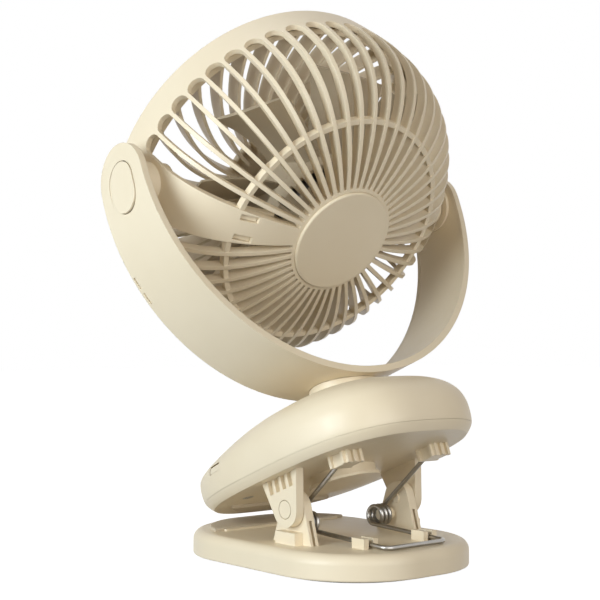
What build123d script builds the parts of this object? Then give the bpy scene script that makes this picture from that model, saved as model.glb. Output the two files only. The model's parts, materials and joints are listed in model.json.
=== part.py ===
from build123d import *
import os
from math import acos, atan2, copysign, cos, degrees, exp, hypot, log, pi, radians, sin, tan

# Clip-on rechargeable fan, in millimetres, +Z up, origin in the middle of the face it stands on.
# The clip's hinge runs along X, its mouth opens towards -Y and its squeeze end points to +Y.
# The jaw, the yoke and the fan head each have their own frame, given by a point and a turn about X.

# Clearances
RUN_FIT = 0.05  # radial, pins and shafts that turn
SEAT_FIT = 0.03  # radial, pins and screws fixed in their holes
FREE_GAP = 0.3  # faces that pass each other
COVER_GAP = 0.1  # covers and plates within their rims
LINE_GAP = 0.25  # joint line round a flush cap or window
SEAM_GAP = 0.06  # joint line between the two halves of the jaw

# Base
BASE_LENGTH = 120.0
BASE_WIDTH = 86.0
BASE_CORNER = 37.0
BASE_TOP = 11.0
BASE_WALL = 2.0
BASE_TOP_ROUND = 4.0
BASE_FOOT_ROUND = 0.8
SOLE_THICKNESS = 1.0
SOLE_INSET = 5.0
PLATE_THICKNESS = 1.6
BASE_SCREW_X = 26.0
BASE_SCREW_Y = 38.0
BASE_SCREW_LENGTH = 6.0
BASE_POST_RADIUS = 3.4
SCREW_RADIUS = 1.2
SCREW_HEAD_RADIUS = 2.3
SCREW_HEAD_HEIGHT = 1.3

# Grip pads
PAD_INSET = 7.1
PAD_THICKNESS = 1.3
PAD_BACK_Y = -30.1
PAD_ROUND = 0.5
BEAD_WIDTH = 1.2
BEAD_HEIGHT = 0.9
BEAD_LENGTH = 62.0
UPPER_PAD_THICKNESS = 1.4
UPPER_PAD_BACK = -42.3
UPPER_PAD_INSET = 6.0
UPPER_PAD_CORNER = 27.0

# Hinge
PIN_Y = 13.8
PIN_Z = 24.4
PIN_RADIUS = 2.0
PIN_HEAD_RADIUS = 3.5
PIN_HEAD_DEPTH = 1.0
PIN_TAIL = 0.6  # stands out past the inner face of the base ear
BASE_EAR_INNER = 26.0
BASE_EAR_OUTER = 30.0
BASE_EAR_RADIUS = 6.8
BASE_EAR_FRONT = 1.0
BASE_EAR_BACK = 25.5
EAR_FOOT_DEPTH = 12.0
EAR_FOOT_HEIGHT = 4.8
EAR_SLOT_WIDTH = 1.4
EAR_SLOT_START = 5.0  # behind the pin
EAR_SLOT_TOP = 4.0  # below the pin
JAW_EAR_THICKNESS = 3.7
JAW_EAR_RADIUS = 7.0
JAW_EAR_FRONT = -10.5
JAW_EAR_BACK = 13.0
JAW_EAR_POCKETS = 4
JAW_EAR_RIB = 1.3
JAW_EAR_COMB_FRONT = -8.0
JAW_EAR_COMB_BACK = 10.0
JAW_EAR_POCKET_HEIGHT = 5.5
JAW_EAR_POCKET_DEPTH = 1.9

# Clamp spring
WIRE_RADIUS = 0.9
COIL_Y = 10.6
COIL_Z = 17.8
COIL_RADIUS = 3.6
COIL_INNER_X = 15.9
COIL_PITCH = 2.25
COIL_FULL_TURNS = 3
BAR_Y = 52.2
BAR_LIFT = 0.3  # wire above the base's top at the cross bar
BAR_BEND = 3.2
TIP_P = 28.5
TIP_Q = 11.3
PEG_LENGTH = 6.5
GUIDE_Y = 36.5
GUIDE_LENGTH = 7.0
GUIDE_WIDTH = 2.5
GUIDE_HEIGHT = 4.0
GUIDE_GAP = 0.25
SPRING_SAMPLES = 700
SPRING_SKIP = 12.0  # length of wire that is not a gap to itself

# Upper jaw, in its frame: x, p towards the squeeze end, q up, zero on the hinge axis
JAW_ANGLE = 21.1
JAW_FLOOR = 13.0
JAW_SPLIT = 16.5
JAW_FRONT = -64.5
JAW_BACK = 57.8
JAW_HALF_WIDTH = 43.0
JAW_PLAN_POWER = 2.9  # fullness of the corners in plan
JAW_FORM_TOLERANCE = 0.02
JAW_WALL = 2.0
# Levels above the floor where the body's rounded form is worked out
JAW_LEVELS = (0.0, 1.0, 2.5, 5.0, 8.5, 11.5, 13.5, 15.0, 16.5, 18.0, 19.5, 21.0, 22.5, 24.0, 25.4)
BELLY_RISE = 7.5  # lower rounding of the sides
BELLY_DRAW = 5.0
CROWN_FROM = 10.0  # upper rounding of the sides and back
CROWN_RISE = 16.8
CROWN_DRAW = 22.0
NOSE_FROM = 13.7  # long slope of the front
NOSE_SLOPE = 3.6
NOSE_BLEND = 1.0
PLATEAU_HEIGHT = 0.8
PLATEAU_FRONT = -9.0
PLATEAU_BACK = 41.5
PLATEAU_HALF_WIDTH = 27.0
PLATEAU_CORNER = 24.0
TICK_COUNT = 4
TICK_LENGTH = 2.4
TICK_WIDTH = 0.9
TICK_HEIGHT = 0.35
DRUM_P = 0.5
DRUM_RADIUS = 13.5
DRUM_HEIGHT = 5.0
DRUM_LIP = 1.4
SOCKET_FRONT = 25.5
SOCKET_BACK = 34.0
SOCKET_HALF_WIDTH = 4.0
SOCKET_BOTTOM = 8.2
SOCKET_RIB = 1.3
JAW_SCREW_PLACES = ((26.0, -31.0), (20.0, -8.0))
JAW_SCREW_LENGTH = 12.0
JAW_POST_RADIUS = 3.2

# Power and control
CELL_RADIUS = 9.1
CELL_LENGTH = 50.0
CELL_P = 31.5
CELL_Q = 25.6
CRADLE_FLOOR = 1.2
SADDLE_X = 20.0
SADDLE_WIDTH = 3.0
SADDLE_HEIGHT = 7.0
SADDLE_OVERHANG = 1.6
BOARD_Q = 19.0
BOARD_THICKNESS = 1.6
BOARD_REACH = 39.0
BOARD_FRONT = -50.0
BOARD_STEP = -26.0
BOARD_BACK = -14.0
BOARD_HALF_WIDTH = 14.0
BOARD_POST_RADIUS = 2.2
BOARD_POSTS = ((-30.0, -20.0), (10.0, -20.0), (-9.0, -45.0), (9.0, -45.0))
USB_WIDTH = 9.0
USB_HEIGHT = 3.2
USB_DEPTH = 7.4
USB_P = -20.0
USB_FACE = 42.4
USB_WALL = 0.4
BUTTON_P = -42.0
BUTTON_RADIUS = 6.0
BUTTON_PROUD = 0.8
BUTTON_FLANGE = 1.2
BUTTON_FLANGE_HEIGHT = 1.4
BUTTON_BOTTOM = 25.0
BUTTON_TRAVEL = 0.6
BUTTON_COLLAR = 1.6
SWITCH_WIDTH = 6.0
SWITCH_PLUNGER_RADIUS = 1.7
SWITCH_BODY_HEIGHT = 2.4
WINDOW_FRONT = -33.5
WINDOW_BACK = -25.0
WINDOW_BOTTOM = 24.2
WINDOW_TOP = 27.4
WINDOW_REACH = 34.0
WINDOW_SLIT = 0.7  # open slit along its top and front edges

# Yoke, in its frame: x along the tilt axis, z along the swivel axis, zero at the tilt pivot
PIVOT_Y = -21.6
PIVOT_Z = 151.7
YOKE_HALF_WIDTH = 86.8
YOKE_DROP = 86.5
YOKE_DEPTH = 2.8
YOKE_WALL = 1.2
YOKE_LIP = 1.6
LINER_THICKNESS = 0.9
ARM_RADIUS = 14.8
YOKE_FOOT_HALF = 18.0
CABLE_HALF_WIDTH = 1.8
CABLE_THICKNESS = 0.4
CABLE_TOP = 12.0
CABLE_GAP = 0.1
PIVOT_BOSS_RADIUS = 11.0
PIVOT_BOSS_DEPTH = 4.4
CAP_RADIUS = 7.6
CAP_STRETCH = 5.6
CAP_THICKNESS = 0.9
CAP_RECESS = 2.0
CRESCENT_RADIUS = 9.0
CRESCENT_DEPTH = 0.35
CRESCENT_DROP = 1.2
BUSH_RADIUS = 7.0
SLOT_MARK_LENGTH = 5.0
SLOT_MARK_WIDTH = 0.8
SLOT_MARK_DEPTH = 0.6
SLOT_MARK_ANGLES = (25.0, 29.7)
SLOT_MARK_Y = -15.2

# Swivel
SEAT_RISE = 0.5  # the jaw's seat above its plateau
SEAT_RADIUS = 15.0
SEAT_BORE_DEPTH = 6.5
SEAT_COLLAR = 9.0
DISC_RADIUS = 14.0
POST_RADIUS = 5.0
POST_BORE = 3.2
POST_TAIL = 1.0
WASHER_RADIUS = 8.0
WASHER_THICKNESS = 1.0
NUT_RADIUS = 7.6
NUT_HEIGHT = 3.2

# Fan head, in its frame: z towards the front, x along the tilt axis, zero at the tilt pivot
HEAD_TILT = 55.9
DOME_RADIUS = 75.8
DOME_DEPTH = 46.8
DOME_POWER = 2.8
DOME_CENTRE = 9.6
HEAD_FRONT = 23.2
SIDE_WALL = 2.4
RIB_DEPTH = 4.6
RIB_COUNT = 50
RIB_THICKNESS = 1.7
SLOT_END = 6.0
HUB_RADIUS = 22.5
HUB_FACE = 37.8
HUB_THICKNESS = 2.2
HUB_SEAT_THICKNESS = 3.4
HUB_SEAT_MARGIN = 1.6
HUB_ROUND = 0.8
HOOP_RADIUS = 50.9
HOOP_WIDTH = 2.2
HOOP_DEPTH = 3.0
RIM_ROUND = 1.0
TRUNNION_RADIUS = 5.0
TRUNNION_BORE = 2.2
TRUNNION_INNER = 66.0
TRUNNION_FLANGE = 1.6
TRUNNION_FLANGE_RADIUS = 7.0
HEAD_BOSS_RADIUS = 8.5
PIVOT_CLIP_RADIUS = 6.2
PIVOT_CLIP_THICKNESS = 0.6
PIVOT_NECK_RADIUS = 4.0
HEAD_BOSS_GAP = 0.8
SHORT_SLOT_END = 62.0
SNAP_FROM = 42.6
SNAP_TO = 50.2
SNAP_OFFSET = 4.4
SNAP_WIDTH = 2.6
SNAP_SINK = 1.2
COVER_FROM = 34.0
COVER_TO = 64.0
COVER_HALF_WIDTH = 6.6
COVER_WALL = 1.2
COVER_DEPTH = 2.8

# Front grille
GRILLE_RING = 2.6
GRILLE_BACK = 11.5
GRILLE_FIN_BACK = 13.0
GRILLE_FIN_FRONT = 21.0
GRILLE_SINK = 0.6
FIN_COUNT = 36
FIN_THICKNESS = 1.4
FIN_CURVE = 62.0
FRONT_CAP_RADIUS = 21.0
FRONT_CAP_THICKNESS = 2.0
FRONT_CAP_ROUND = 1.2

# Motor, set out backwards from the tilt pivot
HOUSING_FACE_RADIUS = 24.0
HOUSING_RADIUS = 31.5
HOUSING_PLATE = 2.0
HOUSING_WALL = 1.8
HOUSING_SHOULDER = 27.0
HOUSING_EDGE = 20.0
VENT_COUNT = 36
VENT_FROM = 27.0
VENT_TO = 32.0
VENT_WIDTH = 2.9
TUBE_RADIUS = 5.2
TUBE_FRONT = 3.0
BEARING_RADIUS = 4.0
BEARING_WIDTH = 3.0
BEARING_REAR = 27.5
SHAFT_RADIUS = 1.5
SHAFT_REAR = 29.6
SHAFT_FRONT = -6.5
STATOR_RADIUS = 13.6
STATOR_FRONT = 6.0
STATOR_BACK = 20.0
STATOR_POLES = 9
POLE_SLOT = 2.2
POLE_SLOT_DEPTH = 5.0
MAGNET_THICKNESS = 2.2
AIR_GAP = 0.5
CAN_WALL = 1.4
CAN_FRONT = 0.0
CAN_BACK = 23.0
MAGNET_FRONT = 4.0
MOTOR_SCREWS = 3
MOTOR_SCREW_RING = 18.5
MOTOR_POST_RADIUS = 3.0
MOTOR_POST_DEPTH = 4.0

# Impeller
BLADE_COUNT = 8
BLADE_TIP = 61.0
BLADE_THICKNESS = 1.7
BLADE_MIDDLE = 5.0
BLADE_ROOT_CHORD = 22.0
BLADE_TIP_CHORD = 32.0
BLADE_ROOT_PITCH = 46.0
BLADE_TIP_PITCH = 30.0
BLADE_PHASE = 54.5
BLADE_SWEEP = 14.0
BLADE_CAMBER = 0.07
BLADE_ROOT = 19.0
CUP_RADIUS = 24.0
CUP_WALL = 1.7
CUP_BACK = 17.0
CUP_ROUND = 2.0
NUT_SIZE = 4.0
NUT_THICKNESS = 2.4

# Places worked out from the sizes above
BOTTOM = (Align.CENTER, Align.CENTER, Align.MIN)
JAW = Location((0, PIN_Y, PIN_Z), (JAW_ANGLE, 0, 0))
YOKE = Location((0, PIVOT_Y, PIVOT_Z), (JAW_ANGLE, 0, 0))  # its swivel stands square to the jaw
HEAD = Location((0, PIVOT_Y, PIVOT_Z), (HEAD_TILT, 0, 0))
PLATE_TOP = SOLE_THICKNESS + PLATE_THICKNESS
BASE_CEILING = BASE_TOP - BASE_WALL
JAW_EAR_INNER = BASE_EAR_OUTER + FREE_GAP
JAW_EAR_OUTER = JAW_EAR_INNER + JAW_EAR_THICKNESS
FLOOR_TOP = JAW_FLOOR + JAW_WALL
JAW_TOP = JAW_FLOOR + JAW_LEVELS[-1]
YOKE_ON_JAW = JAW.inverse() * YOKE
SEAT_DROP = YOKE_ON_JAW.position.Z - JAW_TOP - PLATEAU_HEIGHT - SEAT_RISE
BOARD_TOP = BOARD_Q + BOARD_THICKNESS
RIB_PITCH = 360 / RIB_COUNT
HUB_SEAT = HUB_FACE - HUB_THICKNESS
HOUSING_BACK = HUB_SEAT - HUB_SEAT_THICKNESS
MAGNET_INNER = STATOR_RADIUS + AIR_GAP
CAN_INNER = MAGNET_INNER + MAGNET_THICKNESS
CAN_RADIUS = CAN_INNER + CAN_WALL
CUP_FRONT = CAN_FRONT - CAN_WALL - CUP_WALL
CHANNEL_FLOOR = YOKE_DEPTH - LINER_THICKNESS
ARM_FACE = YOKE_HALF_WIDTH - PIVOT_BOSS_DEPTH
CAP_SEAT = YOKE_HALF_WIDTH - CAP_RECESS
COLLAR_END = SEAT_DROP + SEAT_BORE_DEPTH


def block(x0, x1, y0, y1, z0, z1):
    """Box between two opposite corners."""
    middle = Pos((x0 + x1) / 2, (y0 + y1) / 2, (z0 + z1) / 2)
    return middle * Box(x1 - x0, y1 - y0, z1 - z0)


def rod(radius, start, end):
    """Round bar between two points."""
    span = Vector(*end) - Vector(*start)
    return Plane(origin=start, z_dir=span) * Cylinder(radius, span.length, align=BOTTOM)


def ring(outer, inner, z0, z1):
    """Round tube about the frame's own Z axis."""
    return Pos(0, 0, z0) * extrude(Circle(outer) - Circle(inner), z1 - z0)


def disc(radius, z0, z1):
    """Round plate about the frame's own Z axis."""
    return Pos(0, 0, z0) * extrude(Circle(radius), z1 - z0)


def plate(width, length, corner, z0, z1):
    """Oblong plate with round corners."""
    return Pos(0, 0, z0) * extrude(RectangleRounded(width, length, corner), z1 - z0)


def outline(*points):
    """Flat face inside straight edges."""
    return make_face(Polyline(*points, close=True))


def side_plate(face, x0, x1):
    """Plate whose outline is drawn in (y, z)."""
    return Pos(x0, 0, 0) * extrude(Plane.YZ * face, x1 - x0)


def both_sides(shape):
    """The shape and its mirror image across the middle plane."""
    return shape + mirror(shape, about=Plane.YZ)


def countersunk(radius, head_radius, head_height, length):
    """Countersunk screw pointing up, the head's face at zero."""
    head = Cone(head_radius, radius, head_height, align=BOTTOM)
    return head + disc(radius, head_height, length)


def turned(shape, count):
    """Copies of a shape spread evenly about the frame's own Z axis."""
    return [Rot(0, 0, 360 * i / count) * shape for i in range(count)]


def jaw_point(p, q):
    """World y and z of a point of the jaw's frame."""
    turn = radians(JAW_ANGLE)
    return PIN_Y + p * cos(turn) - q * sin(turn), PIN_Z + p * sin(turn) + q * cos(turn)


# The wire leaves each coil along two tangents: up to its tip in the jaw, and back to the cross bar
TIP_Y, TIP_Z = jaw_point(TIP_P, TIP_Q)
BAR_Z = BASE_TOP + BAR_LIFT + WIRE_RADIUS


def tangent_angle(y, z, side):
    """Angle about the coil of the tangent from a point, on the chosen side."""
    away = hypot(y - COIL_Y, z - COIL_Z)
    return degrees(atan2(z - COIL_Z, y - COIL_Y) + side * acos(COIL_RADIUS / away))


COIL_START = tangent_angle(TIP_Y, TIP_Z, 1)
COIL_SWEEP = (tangent_angle(BAR_Y, BAR_Z, -1) - COIL_START) % 360 + 360 * COIL_FULL_TURNS
COIL_OUTER_X = COIL_INNER_X + COIL_PITCH * COIL_SWEEP / 360


def base_screw_places():
    return [Pos(x, y, SOLE_THICKNESS)
            for x in (-BASE_SCREW_X, BASE_SCREW_X) for y in (-BASE_SCREW_Y, BASE_SCREW_Y)]


def base_ear():
    """Hinge ear, its outer foot and the peg that carries the coil, on the +X side."""
    eye = Pos(PIN_Y, PIN_Z) * Circle(BASE_EAR_RADIUS)
    foot = Line((BASE_EAR_FRONT, BASE_CEILING), (BASE_EAR_BACK, BASE_CEILING))
    ear = side_plate(make_hull(eye.edges() + [foot]), BASE_EAR_INNER, BASE_EAR_OUTER)
    middle = (BASE_EAR_INNER + BASE_EAR_OUTER) / 2
    ear -= block(middle - EAR_SLOT_WIDTH / 2, middle + EAR_SLOT_WIDTH / 2, PIN_Y + EAR_SLOT_START,
                 BASE_EAR_BACK + EAR_SLOT_WIDTH, BASE_TOP, PIN_Z - EAR_SLOT_TOP)
    ear += block(BASE_EAR_OUTER, JAW_EAR_OUTER, PIN_Y - EAR_FOOT_DEPTH / 2, PIN_Y + EAR_FOOT_DEPTH / 2,
                 BASE_CEILING, BASE_TOP + EAR_FOOT_HEIGHT)
    ear += rod(COIL_RADIUS - WIRE_RADIUS - FREE_GAP, (BASE_EAR_INNER, COIL_Y, COIL_Z),
               (BASE_EAR_INNER - PEG_LENGTH, COIL_Y, COIL_Z))
    return ear - rod(PIN_RADIUS + RUN_FIT, (0, PIN_Y, PIN_Z), (JAW_EAR_OUTER, PIN_Y, PIN_Z))


def spring_guides():
    """The two low blocks on each side that keep one leg of the spring in line, on the +X side."""
    gap = WIRE_RADIUS + GUIDE_GAP
    return [block(x, x + GUIDE_WIDTH, GUIDE_Y, GUIDE_Y + GUIDE_LENGTH, BASE_CEILING, BASE_TOP + GUIDE_HEIGHT)
            for x in (COIL_INNER_X + gap, COIL_INNER_X - gap - GUIDE_WIDTH)]


def base_shell():
    body = plate(BASE_WIDTH, BASE_LENGTH, BASE_CORNER, SOLE_THICKNESS, BASE_TOP)
    body = fillet(body.edges().group_by(Axis.Z)[-1], BASE_TOP_ROUND)
    body = fillet(body.edges().group_by(Axis.Z)[0], BASE_FOOT_ROUND)
    body -= plate(BASE_WIDTH - 2 * BASE_WALL, BASE_LENGTH - 2 * BASE_WALL, BASE_CORNER - BASE_WALL,
                  SOLE_THICKNESS, BASE_CEILING)
    post = disc(BASE_POST_RADIUS, PLATE_THICKNESS, BASE_CEILING - SOLE_THICKNESS)
    post -= disc(SCREW_RADIUS + SEAT_FIT, PLATE_THICKNESS, BASE_SCREW_LENGTH + FREE_GAP)
    body += [place * post for place in base_screw_places()]
    bead = Pos(0, PAD_BACK_Y + FREE_GAP + BEAD_WIDTH / 2, BASE_CEILING) * SlotOverall(BEAD_LENGTH, BEAD_WIDTH)
    body += extrude(bead, BASE_WALL + BEAD_HEIGHT)
    body += both_sides(base_ear())
    for guide in spring_guides():
        body += both_sides(guide)
    return body


def base_plate():
    inset = 2 * (BASE_WALL + COVER_GAP)
    body = plate(BASE_WIDTH - inset, BASE_LENGTH - inset, BASE_CORNER - inset / 2, SOLE_THICKNESS, PLATE_TOP)
    hole = countersunk(SCREW_RADIUS + SEAT_FIT, SCREW_HEAD_RADIUS + SEAT_FIT, SCREW_HEAD_HEIGHT, BASE_TOP)
    return body - [place * hole for place in base_screw_places()]


def base_sole():
    return plate(BASE_WIDTH - 2 * SOLE_INSET, BASE_LENGTH - 2 * SOLE_INSET, BASE_CORNER - SOLE_INSET,
                 0, SOLE_THICKNESS)


def base_screws():
    screw = countersunk(SCREW_RADIUS, SCREW_HEAD_RADIUS, SCREW_HEAD_HEIGHT, BASE_SCREW_LENGTH)
    return Compound([place * screw for place in base_screw_places()])


def lower_pad():
    body = plate(BASE_WIDTH - 2 * PAD_INSET, BASE_LENGTH - 2 * PAD_INSET, BASE_CORNER - PAD_INSET,
                 BASE_TOP, BASE_TOP + PAD_THICKNESS)
    body &= block(-BASE_WIDTH, BASE_WIDTH, -BASE_LENGTH, PAD_BACK_Y, 0, 2 * BASE_TOP)
    return fillet(body.edges().group_by(Axis.Z)[-1], PAD_ROUND)


def biarc(start, leave, end, arrive):
    """Two arcs from one point and direction to another, tangent where they meet."""
    span = end - start
    bend = 2 * (leave.dot(arrive) - 1)
    reach = -2 * span.dot(leave + arrive)
    arm = (-reach - (reach * reach - 4 * bend * span.dot(span)) ** 0.5) / (2 * bend)
    first = start + leave * arm
    last = end - arrive * arm
    middle = (first + last) / 2
    return [TangentArc(start, middle, tangent=leave), TangentArc(middle, end, tangent=last - first)]


def coil_point(turn):
    """Point and direction of the +X coil after a turn in degrees from its outer end."""
    angle = radians(COIL_START + turn)
    across = COIL_OUTER_X - COIL_PITCH * turn / 360
    point = Vector(across, COIL_Y + COIL_RADIUS * cos(angle), COIL_Z + COIL_RADIUS * sin(angle))
    inward = 0 if turn in (0, COIL_SWEEP) else -COIL_PITCH / (2 * pi * COIL_RADIUS)
    return point, Vector(inward, -sin(angle), cos(angle)).normalized()


def spring_half():
    """Edges of the wire on the +X side, from its tip to the middle of the cross bar."""
    quarters = int(COIL_SWEEP // 90) + 1
    knots = [coil_point(COIL_SWEEP * i / quarters) for i in range(quarters + 1)]
    edges = [Line((COIL_OUTER_X, TIP_Y, TIP_Z), knots[0][0])]
    for (start, leave), (end, arrive) in zip(knots, knots[1:]):
        edges += biarc(start, leave, end, arrive)
    last, along = knots[-1]
    corner = Vector(COIL_INNER_X, BAR_Y, BAR_Z)
    bend_start = corner - along * BAR_BEND
    bend_end = corner - Vector(BAR_BEND, 0, 0)
    edges.append(Line(last, bend_start))
    edges.append(TangentArc(bend_start, bend_end, tangent=along))
    edges.append(Line(bend_end, (0, BAR_Y, BAR_Z)))
    return edges


def spring_path():
    half = spring_half()
    return Wire(half + [mirror(edge, about=Plane.YZ).edge() for edge in reversed(half)])


def spring_gap(path):
    """Least space between stretches of the wire, measured on points along it."""
    points = [path.position_at(i / SPRING_SAMPLES) for i in range(SPRING_SAMPLES + 1)]
    skip = int(SPRING_SKIP * SPRING_SAMPLES / path.length) + 1
    pairs = ((a, b) for i, a in enumerate(points) for b in points[i + skip:])
    return min((a - b).length for a, b in pairs) - 2 * WIRE_RADIUS


def clamp_spring():
    path = spring_path()
    print(f"clamp_spring: {path.length:.1f} mm of wire, least gap to itself {spring_gap(path):.2f} mm")
    return sweep(Plane(origin=path @ 0, z_dir=path % 0) * Circle(WIRE_RADIUS), path=path)


def round_in(share):
    """How far a quarter round has drawn in, from 0 at its start to 1 at its end."""
    return 1 - (1 - max(share, 0) ** 2) ** 0.5


def jaw_surface_point(level, rise, wall, turn):
    """Point of the jaw's outline for a rise above its floor, drawn in by a wall and laid at a level.

    The turn goes from -90 degrees at the nose, past the +X side, to 90 degrees at the back.
    """
    belly = BELLY_DRAW * round_in(1 - rise / BELLY_RISE)
    inset = belly + CROWN_DRAW * round_in((rise - CROWN_FROM) / CROWN_RISE)
    nose = belly + NOSE_SLOPE * NOSE_BLEND * log(1 + exp((rise - NOSE_FROM) / NOSE_BLEND))
    front = JAW_FRONT + nose + wall
    back = JAW_BACK - inset - wall
    along = sin(radians(turn))
    across = 0 if abs(turn) == 90 else cos(radians(turn))
    reach = (abs(across) ** JAW_PLAN_POWER + abs(along) ** JAW_PLAN_POWER) ** (-1 / JAW_PLAN_POWER)
    x = (JAW_HALF_WIDTH - inset - wall) * across * reach
    return Vector(x, (front + back) / 2 + (back - front) / 2 * along * reach, level)


def jaw_form(wall):
    """The jaw's rounded body, or the hollow that leaves a given wall."""
    squeeze = 1 - 2 * wall / JAW_LEVELS[-1]
    rows = [[jaw_surface_point(JAW_FLOOR + wall + rise * squeeze, rise, wall, turn) for turn in range(-90, 91, 10)]
            for rise in JAW_LEVELS]
    half = Face.make_surface_from_array_of_points(rows, tol=JAW_FORM_TOLERANCE, min_deg=3, max_deg=5)
    sides = [half, half.mirror(Plane.YZ)]
    ends = [Face(Wire([side.edges().sort_by(Axis.Z)[end] for side in sides])) for end in (0, -1)]
    return Solid(Shell(sides + ends))


JAW_OUTER = jaw_form(0)
JAW_SKIN = JAW_OUTER - jaw_form(JAW_WALL)
JAW_REACH = BASE_LENGTH


def jaw_slice(low, high):
    """Everything between two levels of the jaw's frame."""
    return block(-JAW_REACH, JAW_REACH, -JAW_REACH, JAW_REACH, low, high)


def jaw_screw_places():
    return [Pos(side * x, p, JAW_FLOOR) for x, p in JAW_SCREW_PLACES for side in (-1, 1)]


def jaw_ear():
    """Hinge ear under the jaw with its comb of ribs, on the +X side."""
    eye = Circle(JAW_EAR_RADIUS)
    root = Line((JAW_EAR_FRONT, FLOOR_TOP), (JAW_EAR_BACK, FLOOR_TOP))
    ear = side_plate(make_hull(eye.edges() + [root]), JAW_EAR_INNER, JAW_EAR_OUTER)
    pitch = (JAW_EAR_COMB_BACK - JAW_EAR_COMB_FRONT - JAW_EAR_RIB) / JAW_EAR_POCKETS
    for i in range(JAW_EAR_POCKETS):
        start = JAW_EAR_COMB_FRONT + JAW_EAR_RIB + i * pitch
        ear -= block(JAW_EAR_OUTER - JAW_EAR_POCKET_DEPTH, JAW_EAR_OUTER, start,
                     start + pitch - JAW_EAR_RIB, JAW_FLOOR - JAW_EAR_POCKET_HEIGHT, JAW_FLOOR)
    ear -= rod(PIN_RADIUS + SEAT_FIT, (0, 0, 0), (JAW_EAR_OUTER, 0, 0))
    return ear - rod(PIN_HEAD_RADIUS + LINE_GAP, (JAW_EAR_OUTER - PIN_HEAD_DEPTH, 0, 0), (JAW_EAR_OUTER, 0, 0))


def spring_socket():
    """Ribbed block under the jaw that takes one tip of the spring, on the +X side."""
    x0 = COIL_OUTER_X - SOCKET_HALF_WIDTH
    x1 = COIL_OUTER_X + SOCKET_HALF_WIDTH
    body = block(x0, x1, SOCKET_FRONT, SOCKET_BACK, SOCKET_BOTTOM, FLOOR_TOP)
    for x in (x0, COIL_OUTER_X - SOCKET_RIB / 2, x1 - SOCKET_RIB):
        body += block(x, x + SOCKET_RIB, SOCKET_BACK, SOCKET_BACK + SOCKET_RIB, SOCKET_BOTTOM, FLOOR_TOP)
    for p in (SOCKET_FRONT, SOCKET_BACK - SOCKET_RIB):
        body += block(x0 - SOCKET_RIB, x1 + SOCKET_RIB, p, p + SOCKET_RIB, SOCKET_BOTTOM, FLOOR_TOP)
    return body


def tip_bore():
    """Room for the spring's tip, along its upper arm."""
    angle = radians(COIL_START - 90 - JAW_ANGLE)
    along = Vector(0, cos(angle), sin(angle))
    tip = Vector(COIL_OUTER_X, TIP_P, TIP_Q)
    end = tip + along * FREE_GAP
    start = tip - along * (SOCKET_BACK - SOCKET_FRONT)
    return rod(WIRE_RADIUS + FREE_GAP, tuple(start), tuple(end))


def jaw_bottom_shell():
    body = JAW_SKIN & jaw_slice(JAW_FLOOR, JAW_SPLIT)
    body += both_sides(jaw_ear())
    body += both_sides(spring_socket())
    body -= both_sides(tip_bore())
    body += Pos(0, DRUM_P, JAW_FLOOR - DRUM_HEIGHT) * extrude(Circle(DRUM_RADIUS), DRUM_HEIGHT)
    body += Pos(0, DRUM_P, JAW_FLOOR - DRUM_HEIGHT) * extrude(Circle(DRUM_RADIUS + DRUM_LIP), DRUM_LIP)
    body += [Pos(x, p, FLOOR_TOP) * extrude(Circle(BOARD_POST_RADIUS), BOARD_Q - FLOOR_TOP)
             for x, p in BOARD_POSTS]
    post = disc(JAW_POST_RADIUS, JAW_WALL, JAW_SPLIT - JAW_FLOOR)
    hole = countersunk(SCREW_RADIUS + SEAT_FIT, SCREW_HEAD_RADIUS + SEAT_FIT, SCREW_HEAD_HEIGHT, JAW_SCREW_LENGTH)
    body += [place * post for place in jaw_screw_places()]
    return body - [place * hole for place in jaw_screw_places()]


def swivel_seat():
    """Round seat on top of the jaw, square to the swivel axis, in the yoke's frame."""
    seat = disc(SEAT_RADIUS, -SEAT_DROP - JAW_WALL - PLATEAU_HEIGHT, -SEAT_DROP)
    return seat + disc(SEAT_COLLAR, -SEAT_DROP - SEAT_BORE_DEPTH, -SEAT_DROP)


def plateau():
    """Low oval step on top of the jaw, with small ticks round its back corners."""
    middle = (PLATEAU_FRONT + PLATEAU_BACK) / 2
    face = RectangleRounded(2 * PLATEAU_HALF_WIDTH, PLATEAU_BACK - PLATEAU_FRONT, PLATEAU_CORNER)
    body = Pos(0, middle, JAW_TOP - JAW_WALL) * extrude(face, JAW_WALL + PLATEAU_HEIGHT)
    tick = block(PLATEAU_CORNER - TICK_LENGTH, PLATEAU_CORNER, -TICK_WIDTH / 2, TICK_WIDTH / 2,
                 JAW_TOP, JAW_TOP + PLATEAU_HEIGHT + TICK_HEIGHT)
    corner = Pos(PLATEAU_HALF_WIDTH - PLATEAU_CORNER, PLATEAU_BACK - PLATEAU_CORNER, 0)
    for i in range(TICK_COUNT):
        body += both_sides(corner * Rot(0, 0, 90 * (i + 0.5) / TICK_COUNT) * tick)
    return body


def button_collar(radius, low):
    """Round column about the button's axis, from a level up to the jaw's surface."""
    return (Pos(0, BUTTON_P, low) * extrude(Circle(radius), JAW_TOP - low)) & JAW_OUTER


def window_box(margin):
    return block(WINDOW_REACH, JAW_HALF_WIDTH + JAW_WALL, WINDOW_FRONT - margin, WINDOW_BACK + margin,
                 WINDOW_BOTTOM - margin, WINDOW_TOP + margin)


def usb_block(margin, depth):
    """Rounded block of the socket's outline, reaching a depth in from its face."""
    face = RectangleRounded(USB_WIDTH + 2 * margin, USB_HEIGHT + 2 * margin, USB_HEIGHT / 2 - USB_WALL + margin)
    place = Plane(origin=(-USB_FACE, USB_P, BOARD_TOP + USB_HEIGHT / 2), x_dir=(0, 1, 0), z_dir=(1, 0, 0))
    return extrude(place * face, depth)


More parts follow.
